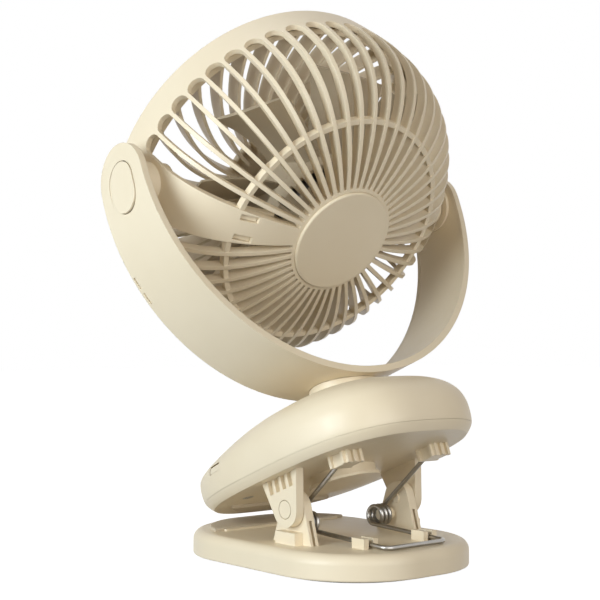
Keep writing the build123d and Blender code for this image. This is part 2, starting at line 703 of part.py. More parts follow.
def jaw_top_shell():
    low = JAW_SPLIT + SEAM_GAP
    body = JAW_SKIN & jaw_slice(low, JAW_TOP)
    body += plateau()
    body += YOKE_ON_JAW * swivel_seat()
    body += button_collar(BUTTON_RADIUS + FREE_GAP + BUTTON_COLLAR, BUTTON_BOTTOM + BUTTON_FLANGE_HEIGHT + FREE_GAP)
    post = disc(JAW_POST_RADIUS, low - JAW_FLOOR, JAW_TOP - JAW_FLOOR)
    pilot = disc(SCREW_RADIUS + SEAT_FIT, 0, JAW_SCREW_LENGTH + FREE_GAP)
    for place in jaw_screw_places():
        body += (place * post) & JAW_OUTER
        body -= place * pilot
    body -= Pos(0, BUTTON_P, 0) * disc(BUTTON_RADIUS + FREE_GAP, JAW_FLOOR, JAW_TOP)
    body -= YOKE_ON_JAW * disc(POST_RADIUS + RUN_FIT, -SEAT_DROP - JAW_TOP, -SEAT_DROP)
    body -= window_box(SEAM_GAP)
    return body - Pos(-JAW_WALL, 0, 0) * usb_block(COVER_GAP, USB_DEPTH + JAW_WALL)


def upper_pad():
    inset = BELLY_DRAW + UPPER_PAD_INSET
    length = JAW_BACK - JAW_FRONT - 2 * inset
    face = RectangleRounded(2 * (JAW_HALF_WIDTH - inset), length, UPPER_PAD_CORNER)
    place = Pos(0, (JAW_FRONT + JAW_BACK) / 2, JAW_FLOOR - UPPER_PAD_THICKNESS)
    body = place * extrude(face, UPPER_PAD_THICKNESS)
    body &= block(-JAW_REACH, JAW_REACH, -JAW_REACH, UPPER_PAD_BACK, 0, JAW_TOP)
    return fillet(body.edges().group_by(Axis.Z)[0], PAD_ROUND)


def hinge_pins():
    seat = JAW_EAR_OUTER - PIN_HEAD_DEPTH
    pin = rod(PIN_RADIUS, (BASE_EAR_INNER - PIN_TAIL, 0, 0), (seat, 0, 0))
    return both_sides(pin + rod(PIN_HEAD_RADIUS, (seat, 0, 0), (JAW_EAR_OUTER, 0, 0)))


def jaw_screws():
    screw = countersunk(SCREW_RADIUS, SCREW_HEAD_RADIUS, SCREW_HEAD_HEIGHT, JAW_SCREW_LENGTH)
    return Compound([place * screw for place in jaw_screw_places()])


def battery_cell():
    return rod(CELL_RADIUS, (-CELL_LENGTH / 2, CELL_P, CELL_Q), (CELL_LENGTH / 2, CELL_P, CELL_Q))


def battery_cradle():
    reach = CELL_RADIUS + SADDLE_OVERHANG
    saddle = block(SADDLE_X, SADDLE_X + SADDLE_WIDTH, CELL_P - reach, CELL_P + reach,
                   FLOOR_TOP, FLOOR_TOP + SADDLE_HEIGHT)
    floor = block(-SADDLE_X, SADDLE_X, CELL_P - reach / 2, CELL_P + reach / 2, FLOOR_TOP, FLOOR_TOP + CRADLE_FLOOR)
    bed = rod(CELL_RADIUS + COVER_GAP, (-CELL_LENGTH, CELL_P, CELL_Q), (CELL_LENGTH, CELL_P, CELL_Q))
    return both_sides(saddle) + floor - bed


def control_board():
    stem = block(-BOARD_HALF_WIDTH, BOARD_HALF_WIDTH, BOARD_FRONT, BOARD_STEP, BOARD_Q, BOARD_TOP)
    return stem + block(-BOARD_REACH, BOARD_HALF_WIDTH, BOARD_STEP, BOARD_BACK, BOARD_Q, BOARD_TOP)


def tact_switch():
    half = SWITCH_WIDTH / 2
    body = block(-half, half, BUTTON_P - half, BUTTON_P + half, BOARD_TOP, BOARD_TOP + SWITCH_BODY_HEIGHT)
    top = BUTTON_BOTTOM - BUTTON_TRAVEL - COVER_GAP
    return body + Pos(0, BUTTON_P, 0) * disc(SWITCH_PLUNGER_RADIUS, BOARD_TOP, top)


def usb_socket():
    return usb_block(0, USB_DEPTH) - usb_block(-USB_WALL, USB_DEPTH - USB_WALL)


def status_window():
    return JAW_SKIN & Pos(0, WINDOW_SLIT / 2, -WINDOW_SLIT / 2) * window_box(-WINDOW_SLIT / 2)


def speed_button():
    """Push button whose top follows the jaw's surface, a little proud of it."""
    body = Pos(0, 0, BUTTON_PROUD) * button_collar(BUTTON_RADIUS, BUTTON_BOTTOM - BUTTON_PROUD)
    flange = disc(BUTTON_RADIUS + BUTTON_FLANGE, BUTTON_BOTTOM, BUTTON_BOTTOM + BUTTON_FLANGE_HEIGHT)
    return body + Pos(0, BUTTON_P, 0) * flange


def yoke_form(inset):
    """Everything inside the half ring and its straight arms, drawn in by an inset."""
    half = YOKE_HALF_WIDTH - inset
    drop = YOKE_DROP - inset
    face = Ellipse(half, drop) & (Pos(0, -drop / 2) * Rectangle(2 * half, drop))
    face += Pos(0, ARM_RADIUS / 2) * Rectangle(2 * half, ARM_RADIUS)
    return extrude(Plane.XZ * face, YOKE_FOOT_HALF, both=True)


def yoke_side(inset):
    """Side view of the arms: round at the pivots, a little wider at the foot."""
    eye = Circle(ARM_RADIUS - inset)
    foot = YOKE_FOOT_HALF - inset
    hull = make_hull(eye.edges() + [Line((-foot, -YOKE_DROP), (foot, -YOKE_DROP))])
    return side_plate(hull, -YOKE_HALF_WIDTH, YOKE_HALF_WIDTH)


def pivot_bar(radius, start, end):
    """Round bars along the tilt axis, one on each side."""
    return both_sides(rod(radius, (start, 0, 0), (end, 0, 0)))


def cap_form(radius, start):
    """Upright ovals about the tilt axis, longer below it, out to the arms' outer faces."""
    low = Pos(0, -CAP_STRETCH) * Circle(radius)
    return both_sides(side_plate(make_hull(Circle(radius).edges() + low.edges()), start, YOKE_HALF_WIDTH))


def slot_mark(angle):
    """Narrow mould mark across the outside of the +X arm, at an angle below the tilt axis."""
    turn = radians(angle)
    place = Plane(origin=(YOKE_HALF_WIDTH * cos(turn), SLOT_MARK_Y, -YOKE_DROP * sin(turn)),
                  x_dir=(-YOKE_HALF_WIDTH * sin(turn), 0, -YOKE_DROP * cos(turn)), z_dir=(0, 1, 0))
    return extrude(place * Rectangle(SLOT_MARK_LENGTH, 2 * SLOT_MARK_DEPTH), SLOT_MARK_WIDTH)


def yoke_shell():
    body = (yoke_form(0) - yoke_form(YOKE_DEPTH)) & yoke_side(0)
    channel = (yoke_form(YOKE_WALL) - yoke_form(YOKE_DEPTH)) & yoke_side(YOKE_LIP)
    body -= channel
    body += pivot_bar(PIVOT_BOSS_RADIUS, ARM_FACE, YOKE_HALF_WIDTH - YOKE_WALL / 2)
    body -= pivot_bar(BUSH_RADIUS + SEAT_FIT, 0, CAP_SEAT)
    body -= cap_form(CAP_RADIUS + LINE_GAP, CAP_SEAT)
    body -= Pos(0, 0, -CRESCENT_DROP) * cap_form(CRESCENT_RADIUS, YOKE_HALF_WIDTH - CRESCENT_DEPTH)
    body -= disc(POST_RADIUS + SEAT_FIT, -YOKE_DROP, YOKE_DEPTH - YOKE_DROP)
    return body - [slot_mark(angle) for angle in SLOT_MARK_ANGLES]


def yoke_liner():
    body = (yoke_form(CHANNEL_FLOOR) - yoke_form(YOKE_DEPTH)) & yoke_side(YOKE_LIP + COVER_GAP)
    return body - pivot_bar(PIVOT_BOSS_RADIUS + COVER_GAP, 0, YOKE_HALF_WIDTH)


def yoke_cable():
    inset = YOKE_WALL + CABLE_GAP
    strip = yoke_form(inset) - yoke_form(inset + CABLE_THICKNESS)
    return strip & block(POST_BORE, YOKE_HALF_WIDTH, -CABLE_HALF_WIDTH, CABLE_HALF_WIDTH, -YOKE_DROP, -CABLE_TOP)


def swivel_disc():
    body = disc(DISC_RADIUS, FREE_GAP - SEAT_DROP, -YOKE_DROP / 2)
    return body - yoke_form(-COVER_GAP) - disc(POST_RADIUS + SEAT_FIT, -SEAT_DROP, 0)


def swivel_post():
    tail = COLLAR_END + FREE_GAP + WASHER_THICKNESS + NUT_HEIGHT + POST_TAIL
    return ring(POST_RADIUS, POST_BORE, -tail, YOKE_WALL - YOKE_DROP)


def swivel_washer():
    top = -COLLAR_END - FREE_GAP
    return ring(WASHER_RADIUS, POST_RADIUS + SEAT_FIT, top - WASHER_THICKNESS, top)


def swivel_nut():
    top = -COLLAR_END - FREE_GAP - WASHER_THICKNESS
    face = RegularPolygon(NUT_RADIUS, 6) - Circle(POST_RADIUS + SEAT_FIT)
    return Pos(0, 0, top - NUT_HEIGHT) * extrude(face, NUT_HEIGHT)


def pivot_bushes():
    return pivot_bar(BUSH_RADIUS, ARM_FACE, CAP_SEAT) - pivot_bar(TRUNNION_RADIUS + RUN_FIT, 0, YOKE_HALF_WIDTH)


def pivot_caps():
    return cap_form(CAP_RADIUS, YOKE_HALF_WIDTH - CAP_THICKNESS)


def dome_point(radius, depth, angle):
    """Point of the head's outline, from its widest ring at 0 to the back pole at 90 degrees."""
    power = 2 / DOME_POWER
    rise = copysign(abs(sin(radians(angle))) ** power, angle)
    return radius * cos(radians(angle)) ** power, DOME_CENTRE - depth * rise


def dome_radius(level, side, back):
    """Radius of the outline at a level, drawn in by a side and a back wall."""
    share = abs(level - DOME_CENTRE) / (DOME_DEPTH - back)
    return (DOME_RADIUS - side) * (1 - share ** DOME_POWER) ** (1 / DOME_POWER)


def dome_back(radius):
    """How far behind the pivot the outline lies at a radius."""
    share = radius / DOME_RADIUS
    return DOME_DEPTH * (1 - share ** DOME_POWER) ** (1 / DOME_POWER) - DOME_CENTRE


def dome_form(side, back):
    """Solid within the head's outline, drawn in by a side and a back wall and cut off at the front."""
    radius = DOME_RADIUS - side
    depth = DOME_DEPTH - back
    pole = (0, DOME_CENTRE - depth)
    rim = (dome_radius(HEAD_FRONT, side, back), HEAD_FRONT)
    curve = Spline(pole, *[dome_point(radius, depth, angle) for angle in range(80, -1, -8)], rim)
    face = make_face(curve + Polyline(rim, (0, HEAD_FRONT), pole))
    return revolve(Plane.XZ * face, Axis.Z)


def slot_edge(radius):
    """Half the width of a slot between two ribs at a radius."""
    half = radians(RIB_PITCH / 2)
    return radius * tan(half) - RIB_THICKNESS / 2 / cos(half)


def slot_wedge(end):
    """One slot between two ribs, about the +X direction, out to a radius."""
    start = HUB_RADIUS + HUB_SEAT_MARGIN
    face = outline((start, -slot_edge(start)), (end, -slot_edge(end)), (end, slot_edge(end)), (start, slot_edge(start)))
    return Pos(0, 0, -DOME_DEPTH) * extrude(face, DOME_DEPTH + SLOT_END)


def grille_slots():
    """All the slots: short ones by the -X pivot, none where the +X spoke runs."""
    long_slot = slot_wedge(DOME_RADIUS + SIDE_WALL)
    long_slot += rod(slot_edge(DOME_RADIUS), (DOME_RADIUS - 2 * SIDE_WALL, 0, SLOT_END),
                     (DOME_RADIUS + SIDE_WALL, 0, SLOT_END))
    short_slot = slot_wedge(SHORT_SLOT_END)
    slots = []
    for i in range(1, RIB_COUNT - 1):
        near_pivot = abs(i + 0.5 - RIB_COUNT / 2) < 1
        slots.append(Rot(0, 0, RIB_PITCH * (i + 0.5)) * (short_slot if near_pivot else long_slot))
    return slots


def snap_box(trim):
    """Windows of the cable cover's snaps in the spoke, made smaller by a trim."""
    half = SNAP_WIDTH / 2 - trim
    return [block(SNAP_FROM + trim, SNAP_TO - trim, y - half, y + half, -DOME_DEPTH, 0)
            for y in (-SNAP_OFFSET, SNAP_OFFSET)]


def rear_grille():
    body = dome_form(0, 0)
    body = fillet(body.edges().group_by(Axis.Z)[-1], RIM_ROUND)
    body -= dome_form(SIDE_WALL, RIB_DEPTH)
    body += disc(HUB_RADIUS + HUB_SEAT_MARGIN, -HUB_SEAT, -HOUSING_BACK)
    body -= disc(HUB_RADIUS + COVER_GAP, -DOME_DEPTH, -HUB_SEAT)
    body -= disc(HOUSING_FACE_RADIUS + FREE_GAP, -HOUSING_BACK, 0)
    body -= grille_slots()
    hoop_back = -dome_back(HOOP_RADIUS + HOOP_WIDTH / 2)
    body += ring(HOOP_RADIUS + HOOP_WIDTH / 2, HOOP_RADIUS - HOOP_WIDTH / 2, hoop_back, hoop_back + HOOP_DEPTH)
    body += pivot_bar(HEAD_BOSS_RADIUS, TRUNNION_INNER + TRUNNION_FLANGE, ARM_FACE - HEAD_BOSS_GAP)
    body -= pivot_bar(TRUNNION_RADIUS + SEAT_FIT, 0, YOKE_HALF_WIDTH)
    body -= motor_screw_holes(SEAT_FIT)
    return body - snap_box(0)


def hub_disc():
    body = disc(HUB_RADIUS, -HUB_FACE, -HUB_SEAT)
    return fillet(body.edges().group_by(Axis.Z)[0], HUB_ROUND)


def head_trunnions():
    neck = CAP_SEAT + FREE_GAP
    body = pivot_bar(TRUNNION_RADIUS, TRUNNION_INNER, neck)
    body += pivot_bar(TRUNNION_FLANGE_RADIUS, TRUNNION_INNER, TRUNNION_INNER + TRUNNION_FLANGE)
    body += pivot_bar(PIVOT_NECK_RADIUS, TRUNNION_INNER, neck + PIVOT_CLIP_THICKNESS)
    return body - pivot_bar(TRUNNION_BORE, 0, YOKE_HALF_WIDTH)


def pivot_clips():
    start = CAP_SEAT + FREE_GAP
    body = pivot_bar(PIVOT_CLIP_RADIUS, start, start + PIVOT_CLIP_THICKNESS)
    return body - pivot_bar(PIVOT_NECK_RADIUS + SEAT_FIT, 0, YOKE_HALF_WIDTH)


def spoke_layer(outer, inner, half_width):
    """Strip along the inside of the +X spoke, between two depths below the ribs."""
    strip = dome_form(SIDE_WALL + outer, RIB_DEPTH + outer) - dome_form(SIDE_WALL + inner, RIB_DEPTH + inner)
    return strip & block(COVER_FROM, COVER_TO, -half_width, half_width, -DOME_DEPTH, DOME_CENTRE)


def cable_cover():
    """Channel over the motor cable, with two snaps that show in the spoke's windows."""
    floor = COVER_DEPTH - COVER_WALL
    body = spoke_layer(COVER_GAP, COVER_DEPTH, COVER_HALF_WIDTH)
    body -= spoke_layer(0, floor, COVER_HALF_WIDTH - COVER_WALL)
    snaps = dome_form(SNAP_SINK, SNAP_SINK) - dome_form(SIDE_WALL + floor, RIB_DEPTH + floor)
    for window in snap_box(LINE_GAP):
        body += snaps & window
    return body


def head_cable():
    return spoke_layer(FREE_GAP, FREE_GAP + CABLE_THICKNESS, CABLE_HALF_WIDTH)


def motor_screw_places():
    return [Rot(0, 0, 360 * i / MOTOR_SCREWS) * Pos(MOTOR_SCREW_RING, 0, -HUB_SEAT) for i in range(MOTOR_SCREWS)]


def motor_screw(margin):
    """Countersunk screw from the hub's seat into the motor housing."""
    depth = HUB_SEAT_THICKNESS + HOUSING_PLATE + MOTOR_POST_DEPTH / 2
    return countersunk(SCREW_RADIUS + margin, SCREW_HEAD_RADIUS + margin, SCREW_HEAD_HEIGHT, depth + margin)


def motor_screw_holes(margin):
    return [place * motor_screw(margin) for place in motor_screw_places()]


def motor_screws():
    return Compound(motor_screw_holes(0))


def motor_housing():
    inside = HOUSING_BACK - HOUSING_PLATE
    face = outline((0, -HOUSING_BACK), (HOUSING_FACE_RADIUS, -HOUSING_BACK), (HOUSING_RADIUS, -HOUSING_SHOULDER),
                   (HOUSING_RADIUS, -HOUSING_EDGE), (HOUSING_RADIUS - HOUSING_WALL, -HOUSING_EDGE),
                   (HOUSING_RADIUS - HOUSING_WALL, HOUSING_WALL / 2 - HOUSING_SHOULDER),
                   (HOUSING_FACE_RADIUS - HOUSING_WALL / 2, -inside), (0, -inside))
    body = revolve(Plane.XZ * face, Axis.Z)
    vent = block(VENT_FROM, VENT_TO, -VENT_WIDTH / 2, VENT_WIDTH / 2, -HOUSING_BACK, HOUSING_WALL - HOUSING_SHOULDER)
    body -= turned(vent, VENT_COUNT)
    body += ring(TUBE_RADIUS, BEARING_RADIUS + SEAT_FIT, -inside, -TUBE_FRONT)
    post = disc(MOTOR_POST_RADIUS, -inside, MOTOR_POST_DEPTH - inside)
    body += turned(Pos(MOTOR_SCREW_RING, 0, 0) * post, MOTOR_SCREWS)
    return body - motor_screw_holes(SEAT_FIT)


def motor_bearings():
    bore = SHAFT_RADIUS + RUN_FIT
    rear = ring(BEARING_RADIUS, bore, -BEARING_REAR, BEARING_WIDTH - BEARING_REAR)
    return rear + ring(BEARING_RADIUS, bore, -TUBE_FRONT - BEARING_WIDTH, -TUBE_FRONT)


def motor_stator():
    body = ring(STATOR_RADIUS, TUBE_RADIUS + SEAT_FIT, -STATOR_BACK, -STATOR_FRONT)
    gap = block(STATOR_RADIUS - POLE_SLOT_DEPTH, STATOR_RADIUS + POLE_SLOT, -POLE_SLOT / 2, POLE_SLOT / 2,
                -STATOR_BACK, -STATOR_FRONT)
    return body - turned(gap, STATOR_POLES)


def rotor_can():
    cup = ring(CAN_RADIUS, CAN_INNER, -CAN_BACK, -CAN_FRONT)
    return cup + ring(CAN_RADIUS, SHAFT_RADIUS + SEAT_FIT, -CAN_FRONT, CAN_WALL - CAN_FRONT)


def rotor_magnet():
    return ring(CAN_INNER - SEAT_FIT, MAGNET_INNER, -STATOR_BACK, -MAGNET_FRONT)


def motor_shaft():
    return disc(SHAFT_RADIUS, -SHAFT_REAR, -SHAFT_FRONT)


def impeller_nut():
    face = RegularPolygon(NUT_SIZE, 6) - Circle(SHAFT_RADIUS + SEAT_FIT)
    return Pos(0, 0, -CUP_FRONT) * extrude(face, NUT_THICKNESS)


def blade_section(radius):
    """Hollow-faced blade outline at a radius, on a plane square to the blade's length."""
    share = (radius - CUP_RADIUS) / (BLADE_TIP - CUP_RADIUS)
    half = (BLADE_ROOT_CHORD + (BLADE_TIP_CHORD - BLADE_ROOT_CHORD) * share) / 2
    pitch = BLADE_ROOT_PITCH + (BLADE_TIP_PITCH - BLADE_ROOT_PITCH) * share
    sag = -2 * half * BLADE_CAMBER
    edge = BLADE_THICKNESS / 4
    front = ThreePointArc((-half, edge), (0, sag + 2 * edge), (half, edge))
    back = ThreePointArc((half, -edge), (0, sag - 2 * edge), (-half, -edge))
    face = make_face([front, Line((half, edge), (half, -edge)), back, Line((-half, -edge), (-half, edge))])
    angle = radians(BLADE_PHASE - BLADE_SWEEP * share)
    outward = Vector(cos(angle), sin(angle), 0)
    place = Plane(origin=outward * radius - Vector(0, 0, BLADE_MIDDLE),
                  x_dir=(-sin(angle), cos(angle), 0), z_dir=outward)
    return place * (Rot(0, 0, -pitch) * face)


def impeller():
    middle = (BLADE_ROOT + BLADE_TIP) / 2
    blade = loft([blade_section(radius) for radius in (BLADE_ROOT, middle, BLADE_TIP + CUP_WALL)])
    room = ring(BLADE_TIP, CUP_RADIUS - CUP_WALL / 2, -DOME_DEPTH, HEAD_FRONT)
    cup = disc(CUP_RADIUS, -CUP_BACK, -CUP_FRONT)
    cup = fillet(cup.edges().group_by(Axis.Z)[-1], CUP_ROUND)
    cup -= disc(CUP_RADIUS - CUP_WALL, -CUP_BACK, -CUP_FRONT - CUP_WALL)
    cup -= disc(SHAFT_RADIUS + SEAT_FIT, -CUP_BACK, -CUP_FRONT)
    return cup + turned(blade & room, BLADE_COUNT)


def grille_ring_radius():
    return dome_radius(HEAD_FRONT, SIDE_WALL, RIB_DEPTH) - FREE_GAP


def front_fins():
    """Curved fins between the cap's seat and the ring, as a flat pattern."""
    reach = grille_ring_radius() - GRILLE_RING / 2
    arc = Circle(FIN_CURVE + FIN_THICKNESS / 2) - Circle(FIN_CURVE - FIN_THICKNESS / 2)
    room = Circle(reach) - Circle(FRONT_CAP_RADIUS - FIN_THICKNESS)
    room &= Pos(0, reach / 2) * Rectangle(2 * reach, reach)
    return turned((Pos(-FIN_CURVE, 0) * arc) & room, FIN_COUNT)


def front_grille():
    outer = grille_ring_radius()
    body = ring(outer, outer - GRILLE_RING, GRILLE_BACK, HEAD_FRONT - GRILLE_SINK)
    seat = GRILLE_FIN_FRONT - FRONT_CAP_THICKNESS
    body += disc(FRONT_CAP_RADIUS, seat, GRILLE_FIN_FRONT)
    depth = GRILLE_FIN_FRONT - GRILLE_FIN_BACK
    return body + [Pos(0, 0, GRILLE_FIN_BACK) * extrude(fin, depth) for fin in front_fins()]


def front_cap():
    body = disc(FRONT_CAP_RADIUS, GRILLE_FIN_FRONT, GRILLE_FIN_FRONT + FRONT_CAP_THICKNESS)
    return fillet(body.edges().group_by(Axis.Z)[-1], FRONT_CAP_ROUND)


WORLD = Location()
PIECES = {
    WORLD: (base_shell, base_plate, base_sole, base_screws, lower_pad, clamp_spring),
    JAW: (jaw_bottom_shell, jaw_top_shell, upper_pad, hinge_pins, jaw_screws, battery_cell, battery_cradle,
          control_board, tact_switch, usb_socket, status_window, speed_button),
    YOKE: (yoke_shell, yoke_liner, yoke_cable, swivel_disc, swivel_post, swivel_washer, swivel_nut,
           pivot_bushes, pivot_caps),
    HEAD: (rear_grille, hub_disc, head_trunnions, pivot_clips, cable_cover, head_cable, motor_housing,
           motor_screws, motor_bearings, motor_stator, front_grille, front_cap, rotor_can, rotor_magnet,
           motor_shaft, impeller_nut, impeller),
}


def main():
    os.makedirs("parts", exist_ok=True)
    for frame, makers in PIECES.items():
        for make in makers:
            export_step(frame * make(), f"parts/{make.__name__}.step")


if __name__ == "__main__":
    main()
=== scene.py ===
import json
from math import acos, atan2, cos, hypot, pi, sin

import bpy
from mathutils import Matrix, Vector


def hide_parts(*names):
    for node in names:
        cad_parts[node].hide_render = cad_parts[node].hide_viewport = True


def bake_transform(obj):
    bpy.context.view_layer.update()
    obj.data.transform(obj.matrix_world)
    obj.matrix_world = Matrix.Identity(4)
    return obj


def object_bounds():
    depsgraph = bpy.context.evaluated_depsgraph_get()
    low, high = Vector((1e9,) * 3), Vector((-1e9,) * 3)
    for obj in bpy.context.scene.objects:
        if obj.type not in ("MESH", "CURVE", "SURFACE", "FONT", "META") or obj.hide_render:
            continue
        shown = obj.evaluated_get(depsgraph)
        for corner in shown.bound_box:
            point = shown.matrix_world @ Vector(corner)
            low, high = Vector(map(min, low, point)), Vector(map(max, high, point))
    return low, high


# Clip-on fan: finishes for its solids, the wire spring, the studio light and the camera.
# Lengths are in metres, in the part's own frame: +Z up, the clip's mouth towards -Y.

MM = 0.001

# Camera, placed as the photograph was taken
CAMERA_PLACE = Vector((0.3558, 0.4089, 0.0905))
CAMERA_FORWARD = Vector((-0.6402, -0.7676, 0.0302))
CAMERA_LENS = 78.4
CAMERA_SENSOR = 36.0
CAMERA_CLIP_START = 10 * MM

# Clamp spring: wire, coils, tips in the jaw's sockets and cross bar on the base
WIRE_RADIUS = 0.9 * MM
COIL_CENTRE = Vector((0.0, 10.6 * MM, 17.8 * MM))
COIL_RADIUS = 3.6 * MM
COIL_INNER_X = 15.9 * MM
COIL_PITCH = 2.25 * MM
COIL_FULL_TURNS = 3
BAR_Y = 52.2 * MM
BAR_Z = 12.2 * MM
BAR_BEND = 3.2 * MM
TIP_P = 28.5 * MM
TIP_Q = 11.3 * MM
TURN_STEPS = 40
BEND_STEPS = 8
ARM_STEPS = 6
WIRE_RESOLUTION = 5

# Surface patterns: the span of a noise that is used, the size of its patches, and the radius of eased edges
NOISE_LOW = 0.3
NOISE_HIGH = 0.7
NOISE_DETAIL = 3.0
FINE_DETAIL = 4.0
PLASTIC_SHADE_SIZE = 45 * MM
PLASTIC_GLOSS_SIZE = 4 * MM
PLASTIC_GLOSS_SPREAD = 0.05
PLASTIC_EDGE = 0.35 * MM
METAL_SHADE_SIZE = 3 * MM
METAL_MARK_SIZE = 0.5 * MM
METAL_MARK_DEPTH = 0.04 * MM
METAL_EDGE = 0.12 * MM
EDGE_SAMPLES = 6

# Studio
WHITE = (1.0, 1.0, 1.0)
FLOOR_SIZE = 6.0
FLOOR_COLOUR = (0.3, 0.3, 0.3)
FLOOR_ROUGHNESS = 0.9
FLOOR_SPECULAR = 0.1
FLOOR_GLOW = 0.97
WORLD_LIGHT = (0.085, 0.058, 0.028)

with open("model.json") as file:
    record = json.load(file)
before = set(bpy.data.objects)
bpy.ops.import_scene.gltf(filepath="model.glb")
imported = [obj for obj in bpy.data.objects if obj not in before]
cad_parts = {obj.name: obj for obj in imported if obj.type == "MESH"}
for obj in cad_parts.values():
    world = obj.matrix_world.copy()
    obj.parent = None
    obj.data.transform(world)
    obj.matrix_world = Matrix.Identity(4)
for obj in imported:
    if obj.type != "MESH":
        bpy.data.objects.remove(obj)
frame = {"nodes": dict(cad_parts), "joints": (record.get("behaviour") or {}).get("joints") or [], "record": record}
CAD_LOW, CAD_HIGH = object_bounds()
NODES = frame["nodes"]
JOINTS = {joint["name"]: joint for joint in frame["joints"]}


def new_object(name, data):
    """Object in the scene that shows some data."""
    thing = bpy.data.objects.new(name, data)
    bpy.context.scene.collection.objects.link(thing)
    return thing


# Node trees


def new_material(name):
    """Material with its node tree and its main shader."""
    material = bpy.data.materials.new(name)
    material.use_nodes = True
    tree = material.node_tree
    return material, tree, tree.nodes["Principled BSDF"]


def add(tree, kind, **values):
    """Node of a kind, with values for its inputs given by name."""
    node = tree.nodes.new(f"ShaderNode{kind}")
    for name, value in values.items():
        node.inputs[name.replace("_", " ")].default_value = value
    return node


def noise(tree, size, detail=NOISE_DETAIL):
    """Value between 0 and 1 that varies over the surface about every size metres."""
    place = add(tree, "TexCoord")
    texture = add(tree, "TexNoise", Scale=1 / size, Detail=detail)
    tree.links.new(place.outputs["Object"], texture.inputs["Vector"])
    return texture.outputs["Fac"]


def spread(tree, value, low, high):
    """A noise mapped to run from low to high."""
    node = add(tree, "MapRange", From_Min=NOISE_LOW, From_Max=NOISE_HIGH, To_Min=low, To_Max=high)
    tree.links.new(value, node.inputs["Value"])
    return node.outputs["Result"]


def tint(tree, value, first, second):
    """Colour that goes from the first to the second as a value goes from 0 to 1."""
    node = add(tree, "Mix")
    node.data_type = "RGBA"
    tree.links.new(value, node.inputs["Factor"])
    node.inputs["A"].default_value = (*first, 1)
    node.inputs["B"].default_value = (*second, 1)
    return node.outputs["Result"]


def larger(tree, first, second):
    """The larger of two values."""
    node = add(tree, "Math")
    node.operation = "MAXIMUM"
    tree.links.new(first, node.inputs[0])
    tree.links.new(second, node.inputs[1])
    return node.outputs[0]


def relief(tree, shader, height, depth, edge):
    """Surface relief from a varying height, over edges that are eased by a radius."""
    bump = add(tree, "Bump", Strength=1.0, Distance=depth)
    tree.links.new(height, bump.inputs["Height"])
    ease = add(tree, "Bevel", Radius=edge)
    ease.samples = EDGE_SAMPLES
    tree.links.new(ease.outputs["Normal"], bump.inputs["Normal"])
    tree.links.new(bump.outputs["Normal"], shader.inputs["Normal"])


# Finishes


def moulded(name, colour, deep, roughness, grain=0.35 * MM, depth=0.006 * MM):
    """Moulded plastic or rubber: slow shifts of shade, a fine spark-eroded grain and eased edges."""
    material, tree, shader = new_material(name)
    shade = spread(tree, noise(tree, PLASTIC_SHADE_SIZE), 0.0, 1.0)
    tree.links.new(tint(tree, shade, colour, deep), shader.inputs["Base Color"])
    patches = noise(tree, PLASTIC_GLOSS_SIZE, FINE_DETAIL)
    gloss = spread(tree, patches, roughness - PLASTIC_GLOSS_SPREAD, roughness + PLASTIC_GLOSS_SPREAD)
    tree.links.new(gloss, shader.inputs["Roughness"])
    relief(tree, shader, noise(tree, grain), depth, PLASTIC_EDGE)
    return material


def metal(name, colour, deep, roughness, wear=0.09):
    """Bare or plated metal with fine tool marks, which are deeper with wear."""
    material, tree, shader = new_material(name)
    shader.inputs["Metallic"].default_value = 1.0
    shade = spread(tree, noise(tree, METAL_SHADE_SIZE, FINE_DETAIL), 0.0, 1.0)
    tree.links.new(tint(tree, shade, colour, deep), shader.inputs["Base Color"])
    marks = noise(tree, METAL_MARK_SIZE)
    tree.links.new(spread(tree, marks, roughness - wear, roughness + wear), shader.inputs["Roughness"])
    relief(tree, shader, marks, METAL_MARK_DEPTH * wear, METAL_EDGE)
    return material


CREAM = (0.84, 0.735, 0.555)
CREAM_DEEP = (0.80, 0.69, 0.505)

MOULDED = {
    "cream_plastic": dict(colour=CREAM, deep=CREAM_DEEP, roughness=0.42),
    # Impeller: its own greyish beige, darkened further by painted shade of the head's shadowed inside.
    "beige_plastic": dict(colour=(0.50, 0.42, 0.30), deep=(0.46, 0.38, 0.27), roughness=0.5),
    "cream_rubber": dict(colour=(0.66, 0.57, 0.43), deep=(0.60, 0.51, 0.38), roughness=0.75,
                         grain=0.25 * MM, depth=0.012 * MM),
    "dark_rubber": dict(colour=(0.035, 0.033, 0.03), deep=(0.022, 0.021, 0.02), roughness=0.8,
                        grain=0.3 * MM, depth=0.015 * MM),
    "black_plastic": dict(colour=(0.03, 0.03, 0.03), deep=(0.018, 0.018, 0.018), roughness=0.5),
    "milky_window": dict(colour=CREAM, deep=CREAM_DEEP, roughness=0.3),
    "cable_grey": dict(colour=(0.12, 0.11, 0.10), deep=(0.08, 0.075, 0.07), roughness=0.5),
    "board_green": dict(colour=(0.02, 0.11, 0.05), deep=(0.012, 0.08, 0.035), roughness=0.35,
                        grain=1.2 * MM, depth=0.01 * MM),
    "cell_sleeve": dict(colour=(0.06, 0.19, 0.36), deep=(0.045, 0.15, 0.30), roughness=0.3,
                        grain=2 * MM, depth=0.01 * MM),
}

METALS = {
    "steel_wire": dict(colour=(0.40, 0.385, 0.36), deep=(0.37, 0.355, 0.33), roughness=0.3, wear=0.03),
    "steel": dict(colour=(0.62, 0.61, 0.59), deep=(0.54, 0.53, 0.51), roughness=0.32),
    "turned_brass": dict(colour=(0.62, 0.44, 0.17), deep=(0.55, 0.38, 0.14), roughness=0.3),
    "motor_iron": dict(colour=(0.16, 0.16, 0.165), deep=(0.10, 0.10, 0.105), roughness=0.5),
}

FINISHES = {name: moulded(name, **look) for name, look in MOULDED.items()}
FINISHES |= {name: metal(name, **look) for name, look in METALS.items()}


